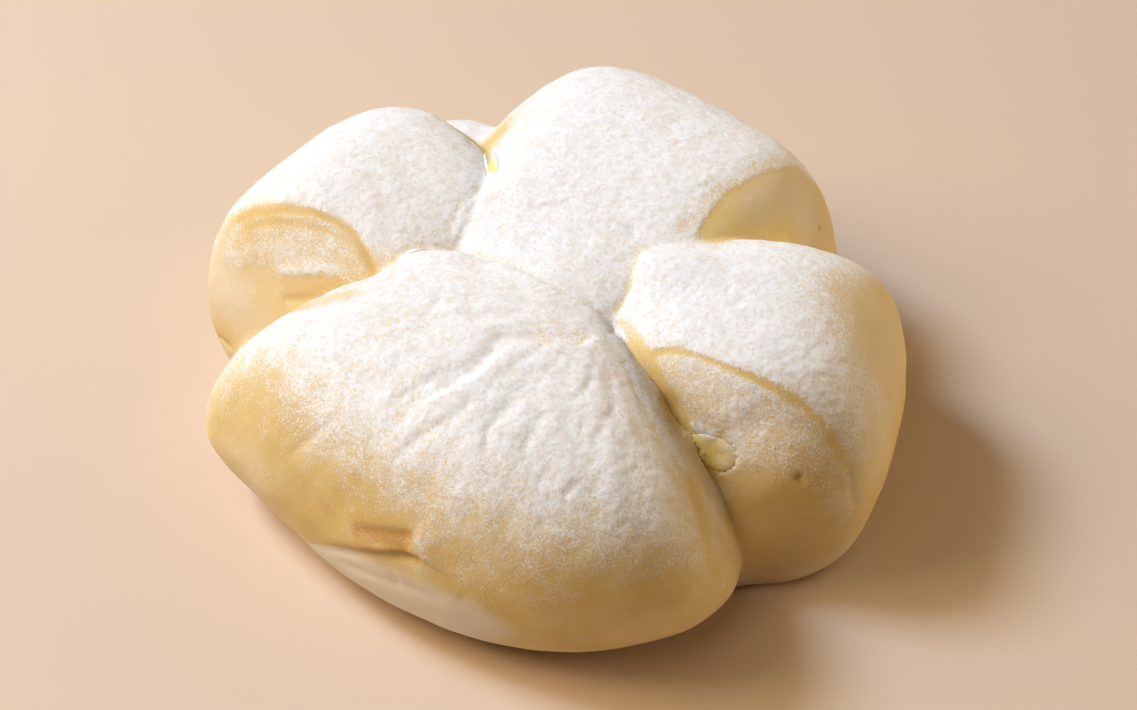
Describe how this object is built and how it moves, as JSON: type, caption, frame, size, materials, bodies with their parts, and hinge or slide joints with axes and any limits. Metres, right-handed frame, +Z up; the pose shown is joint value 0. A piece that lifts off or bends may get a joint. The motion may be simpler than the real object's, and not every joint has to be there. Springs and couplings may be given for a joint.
{
  "type": "soy milk bread",
  "caption": "Soft round milk bread: a square of dough whose corners are folded to the middle over custard, dusted with white powder.",
  "frame": {"origin": "under the middle of the bread, on the flat underside that it rests on", "axes": "+Z up; +X along the bread's longest way across, to the right as the picture shows it; -Y towards the large front fold"},
  "size_m": [0.11, 0.1089, 0.0403],
  "materials": {
    "bread_crust": "soft baked crust, golden to cream, dusted with fine white powder on top",
    "custard": "smooth moist yellow custard"
  },
  "bodies": {
    "root": {"bread_dough": "bread_crust", "custard_filling": "custard"}
  },
  "joints": []
}
